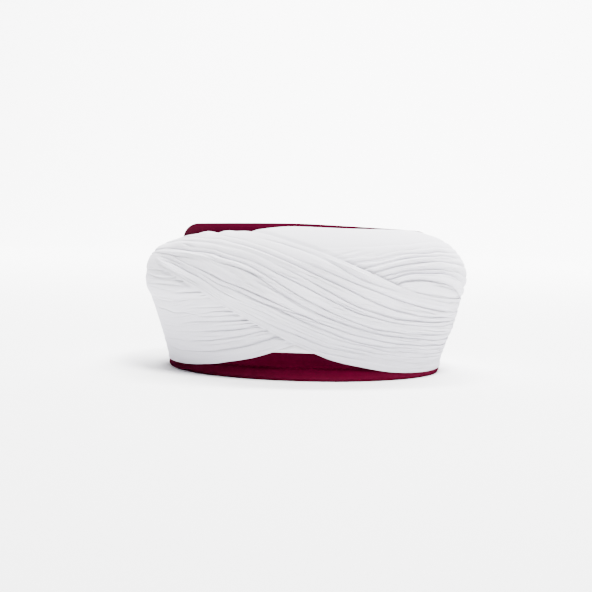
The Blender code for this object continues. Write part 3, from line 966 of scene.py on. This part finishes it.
def inside_falling(up):
    return np.minimum(up - course("falling_low"), course("falling_top") - up)


def covered(up):
    """How far down the rising pass lies: it dips under the falling pass and comes up again."""
    under = blend(inside_falling(up), -COVER_START, -COVER_END)
    return under * (thickness(up, "falling") + COVER_GAP)


def rising_pass():
    up, crest, sunk = folded("rising", RISING_FOLDS, RISING_CREASES, RISING_SEED, RISING_ROWS)
    hidden = blend(inside_falling(up), -COVER_START, HIDDEN_FROM)
    away = blend(inside_falling(up), HIDDEN_FROM, HIDDEN_TO)
    small = small_pleats(RISING_SEED, up, *RISING_SMALL) * (1.0 - 0.8 * blend(up, *PLAIN_TOP))
    slow = waves(RISING_SEED + 1, RISING_SLOW, up)
    relief = crest * (1.0 - hidden) - (sunk + small) * (1.0 - away) + slow * (1.0 - hidden)
    relief = np.maximum(relief, -SUNK_MOST * thickness(up, "rising"))
    depth = covered(up) + curled(up, "rising") - relief

    def back_depth(up_back):
        return down_to_cap(up_back, covered(up_back) + thickness(up_back, "rising"), FIRST_LAYER_HEAD)

    finish = muslin_finish("muslin, rising pass", MUSLIN, MUSLIN_MOTTLE_AND_SHADE, 42.0)
    return wound_pass("rising_pass_cloth", "rising", up, depth, back_depth, finish)


rising = rising_pass()
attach(rising, "root")
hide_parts("rising_pass")


# The falling pass: the last strip wound on, pleated along its length in the same way.
# It comes over the top on the left, falls across the front, and runs along the rim on the right.
# Its upper edge is a rolled margin, and its folds draw together where it is pulled tight on the right.
FALLING_FOLDS = (
    ((67.5, 58.5, 38.7, 21.8, 13.4, 9.0, 6.9, 5.9), (0.0, 0.0, 0.1, 0.6, 0.8, 0.4)),
    ((68.0, 59.8, 41.4, 26.8, 17.1, 12.1, 9.4, 8.4), (0.0, 0.0, 0.4, 0.9, 0.6, 0.2)),
    ((68.7, 61.0, 44.4, 29.8, 19.9, 14.4, 11.7, 10.7), (0.0, 0.0, 0.1, 0.6, 0.4, 0.2)),
    ((71.8, 64.9, 49.2, 34.3, 22.8, 17.3, 14.0, 13.2), (0.0, 0.9, 0.1, 0.6, 0.8, 0.4)),
    ((74.2, 67.2, 54.2, 37.8, 25.0, 19.9, 17.0, 16.2), (0.0, 0.1, 0.9, 0.9, 0.6, 0.2)),
    ((76.2, 69.4, 57.8, 41.4, 28.8, 22.6, 19.7, 19.0), (0.0, 0.7, 0.9, 0.6, 0.7, 0.5)),
    ((78.9, 77.0, 68.9, 47.8, 33.4, 27.1, 23.6, 22.8), (0.0, 0.1, 0.9, 0.8, 0.9, 0.5)),
    ((80.8, 80.3, 72.7, 53.0, 36.5, 30.2, 27.6, 26.8), (0.2, 1.1, 1.0, 0.9, 0.6, 0.2)),
    ((84.0, 83.0, 76.5, 60.2, 43.6, 36.0, 33.2, 32.8), (0.0, 0.1, 1.0, 1.0, 0.5, 0.4)),
    ((88.0, 86.5, 81.0, 65.3, 47.4, 39.2, 36.2, 35.8), (0.0, 0.1, 0.3, 1.2, 1.4, 0.5)),
    ((92.0, 91.0, 85.0, 71.1, 54.4, 43.4, 39.4, 39.0), (0.1, 0.2, 0.7, 1.2, 0.8, 0.1)),
    ((95.0, 94.5, 88.5, 75.4, 61.0, 50.2, 43.9, 42.4), (0.0, 0.0, 0.2, 0.9, 0.9, 0.6)),
    ((98.0, 97.5, 92.0, 83.2, 65.1, 56.0, 51.0, 49.0), (0.0, 0.0, 0.0, 1.2, 1.3, 0.3)),
)

# Short creases and narrow ridges between them; a ridge has a depth below 0.
FALLING_CREASES = (
    (0.6, 0.60, ((-66, 74.9), (-56, 73.6), (-46, 70.4))),
    (-0.7, 0.70, ((-70, 78.3), (-56, 78.4), (-40, 77.6), (-30, 73.4), (-22, 68.2))),
    (-0.8, 0.50, ((-36, 77.8), (-28, 74.8), (-20, 70.9), (-9, 61.2))),
    (-1.0, 0.50, ((-68, 73.4), (-59, 70.9), (-50, 67.1), (-42, 63.8), (-36, 61.0))),
    (0.5, 0.50, ((-58, 76.6), (-45, 75.4), (-34, 71.8))),
    (0.8, 0.40, ((-30, 70.8), (-20, 65.0))),
    (0.8, 0.40, ((-27, 67.8), (-17, 62.0))),
    (0.8, 0.40, ((-25, 64.8), (-14, 58.8))),
    (0.7, 0.40, ((-23, 71.0), (-11, 64.0))),
    (0.8, 0.40, ((-18, 64.5), (-9, 56.5))),
    (0.9, 0.45, ((-15, 62.5), (-4, 53.0))),
    (0.8, 0.40, ((-11, 58.0), (0, 48.8))),
    (0.7, 0.40, ((-22, 58.8), (-5, 47.5))),
    (0.7, 0.40, ((-16, 50.0), (-2, 42.8))),
    (0.7, 0.40, ((-12, 47.8), (4, 39.3))),
    (0.8, 0.40, ((-9, 44.2), (6, 36.3))),
    (0.7, 0.40, ((-3, 43.5), (10, 36.8))),
    (-0.8, 0.50, ((-26, 86.3), (-10, 77.3), (0, 69.8), (10, 61.7), (22, 51.6))),
    (-0.8, 0.50, ((5, 80.4), (15, 72.2), (23, 65.6), (35, 59.0))),
    (-0.8, 0.50, ((6, 73.0), (20, 62.7), (32, 55.9), (46, 51.6))),
    (0.8, 0.40, ((2, 61.3), (14, 49.5), (24, 42.8))),
    (0.8, 0.40, ((8, 55.5), (20, 45.0), (30, 40.0))),
    (0.9, 0.45, ((16, 50.5), (28, 43.5), (44, 39.0))),
    (0.7, 0.40, ((22, 55.8), (34, 48.5), (48, 44.5))),
    (0.8, 0.40, ((4, 43.8), (16, 36.0), (28, 30.8))),
    (0.7, 0.40, ((12, 38.6), (26, 31.0), (40, 27.8))),
    (0.7, 0.40, ((10, 29.8), (24, 23.5), (38, 19.5))),
    (0.7, 0.40, ((6, 25.5), (18, 18.3), (34, 13.3))),
    (0.7, 0.40, ((24, 17.8), (40, 13.0), (56, 10.3))),
    (0.4, 0.60, ((-62, 87.0), (-46, 88.0), (-34, 86.5), (-22, 82.5))),
    (0.6, 0.40, ((-30, 62.8), (-16, 52.5))),
    (0.6, 0.40, ((44, 46.8), (60, 40.0), (74, 38.6))),
    (0.6, 0.40, ((40, 33.2), (56, 28.0), (74, 27.0))),
    (0.6, 0.40, ((48, 24.5), (64, 19.8), (78, 19.0))),
)
FALLING_SEED = 23
FALLING_ROWS = 16
FALLING_SMALL = (200, 1.0 * MM)
FALLING_SLOW = 0.16 * MM

# On the left its lower margin lies smooth, up to these lengths from its edge and to these angles.
SMOOTH_MARGIN = (7.5 * MM, 11.25 * MM)
SMOOTH_LEFT = (-15.0, 5.0)

# The puckers in its top edge where it turns in on the crown, as (angle, mm higher). They start this
# far below the edge and are full this far below it.
PUCKER_START = 9.0 * MM
PUCKER_FULL = 1.0 * MM
TOP_PUCKERS = (
    (-90, 0.0), (-58, 0.0), (-51, 0.4), (-45, 1.8), (-40, -1.2), (-35, 1.0), (-30, -0.2),
    (-24, 0.0), (0, 0.0),
)


def falling_pass():
    up, crest, sunk = folded("falling", FALLING_FOLDS, FALLING_CREASES, FALLING_SEED, FALLING_ROWS)
    in_margin = 1.0 - blend(up - course("falling_low"), *SMOOTH_MARGIN)
    smooth = in_margin * (1.0 - blend(angles, *SMOOTH_LEFT))
    small = small_pleats(FALLING_SEED, up, *FALLING_SMALL) * (1.0 - smooth)
    slow = waves(FALLING_SEED + 1, FALLING_SLOW, up)
    relief = np.maximum(crest - sunk - small + slow, -SUNK_MOST * thickness(up, "falling"))
    top = course("falling_top")
    pucker = round_the_head(angles, *zip(*TOP_PUCKERS)) * MM
    puckered = pucker * blend(up, top - PUCKER_START, top - PUCKER_FULL)
    depth = curled(up, "falling") - relief - puckered

    def back_depth(up_back):
        covered_to = np.maximum(FIRST_LAYER_HEAD, course("rising_top"))
        return down_to_cap(up_back, thickness(up_back, "falling"), covered_to)

    finish = muslin_finish("muslin, falling pass", MUSLIN, MUSLIN_MOTTLE_AND_SHADE, 46.0)
    return wound_pass("falling_pass_cloth", "falling", up, depth, back_depth, finish)


falling = falling_pass()
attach(falling, "root")
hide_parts("falling_pass")


# The place it is photographed in: a pale floor that curves up behind into a plain wall, large soft
# lights, and the camera at the photograph's height, a little above the rim's level.
FLOOR_WIDTH = 9.0
FLOOR_FRONT = -3.0
FLOOR_BACK = 3.2
WALL_HEIGHT = 4.0
WALL_BEND = 1.6
CAMERA_DISTANCE = 1.0
CAMERA_RISE = math.radians(3.1)
CAMERA_ROLL = math.radians(1.5)
AIM = Vector((0.0, 0.0, 47.0 * MM))
AIM_PIXEL = (306.0, 297.0)
PICTURE = 592.0
PIXEL = 0.68 * MM
SENSOR = 36.0
ROOM_LIGHT = 0.03
ROOM_SEEN = 6.0
FLOOR_PALE = (0.98, 0.98, 0.98, 1.0)
TURBAN = (0.0, 0.0, 50.0 * MM)

# The soft lights: where each is and what it faces, its width, height, power and colour.
LIGHTS = (
    ("top light", (0.32, -0.58, 1.32), TURBAN, 0.45, 0.4, 64.0, (1.0, 1.0, 1.0)),
    ("left light", (-1.2, -1.6, 0.5), TURBAN, 1.2, 1.0, 1.0, (0.50, 0.54, 1.0)),
    ("right light", (1.5, -1.4, 0.6), TURBAN, 1.0, 1.0, 3.5, (1.0, 0.93, 0.90)),
    ("wall light", (0.5, 1.5, 3.8), (0.0, 4.6, 0.9), 3.5, 2.0, 1700.0, (1.0, 1.0, 1.0)),
)


def pale_floor():
    mesh = bmesh.new()
    bmesh.ops.create_grid(mesh, x_segments=2, y_segments=48, size=1.0)
    flat = FLOOR_BACK - FLOOR_FRONT
    bend = WALL_BEND * math.pi / 2.0
    total = flat + bend + WALL_HEIGHT
    for corner in mesh.verts:
        run = (corner.co.y + 1.0) / 2.0 * total
        across = corner.co.x * FLOOR_WIDTH / 2.0
        turn = min(max((run - flat) / WALL_BEND, 0.0), math.pi / 2.0)
        over = max(run - flat - bend, 0.0)
        back = FLOOR_FRONT + min(run, flat) + WALL_BEND * math.sin(turn)
        corner.co = (across, back, WALL_BEND * (1.0 - math.cos(turn)) + over)
    finish, _, shader = new_material("pale floor", 0.9, 0.0, 0.5, (1.0, 1.0, 1.0))
    shader.inputs["Base Color"].default_value = FLOOR_PALE
    return finished(bpy.data.meshes.new("pale_floor"), mesh, finish)


def soft_light(name, where, towards, width, height, power, colour):
    lamp = bpy.data.lights.new(name, "AREA")
    lamp.shape = "RECTANGLE"
    lamp.size = width
    lamp.size_y = height
    lamp.energy = power
    lamp.color = colour
    made = bpy.data.objects.new(name, lamp)
    turned = (Vector(towards) - Vector(where)).to_track_quat("-Z", "Y").to_matrix().to_4x4()
    made.matrix_world = Matrix.Translation(where) @ turned
    bpy.context.scene.collection.objects.link(made)


def camera():
    back = Vector((0.0, -math.cos(CAMERA_RISE), math.sin(CAMERA_RISE)))
    right = Vector((1.0, 0.0, 0.0))
    up = Vector((0.0, math.sin(CAMERA_RISE), math.cos(CAMERA_RISE)))
    rolled_right = right * math.cos(CAMERA_ROLL) + up * math.sin(CAMERA_ROLL)
    rolled_up = up * math.cos(CAMERA_ROLL) - right * math.sin(CAMERA_ROLL)
    focal = CAMERA_DISTANCE / PIXEL
    across = (AIM_PIXEL[0] - PICTURE / 2.0) / focal
    down = (AIM_PIXEL[1] - PICTURE / 2.0) / focal
    look = (-back - rolled_right * across + rolled_up * down).normalized()
    side = (rolled_right - look * rolled_right.dot(look)).normalized()
    top = side.cross(look)
    turned = Matrix((side, top, -look)).transposed().to_4x4()
    lens = bpy.data.cameras.new("camera")
    lens.sensor_width = SENSOR
    lens.lens = SENSOR * focal / PICTURE
    made = bpy.data.objects.new("camera", lens)
    made.matrix_world = Matrix.Translation(AIM + back * CAMERA_DISTANCE) @ turned
    bpy.context.scene.collection.objects.link(made)
    bpy.context.scene.camera = made


camera()
pale_floor()
for light in LIGHTS:
    soft_light(*light)


def studio():
    """A faint even light from all round, behind which the eye sees plain white."""
    world = bpy.data.worlds.new("studio")
    world.use_nodes = True
    tree = world.node_tree
    faint = tree.nodes["Background"]
    seen = tree.nodes.new("ShaderNodeBackground")
    for light, strength in ((faint, ROOM_LIGHT), (seen, ROOM_SEEN)):
        light.inputs["Color"].default_value = (1.0, 1.0, 1.0, 1.0)
        light.inputs["Strength"].default_value = strength
    path = tree.nodes.new("ShaderNodeLightPath")
    either = tree.nodes.new("ShaderNodeMixShader")
    tree.links.new(path.outputs["Is Camera Ray"], either.inputs[0])
    tree.links.new(faint.outputs[0], either.inputs[1])
    tree.links.new(seen.outputs[0], either.inputs[2])
    tree.links.new(either.outputs[0], tree.nodes["World Output"].inputs["Surface"])
    bpy.context.scene.world = world


studio()
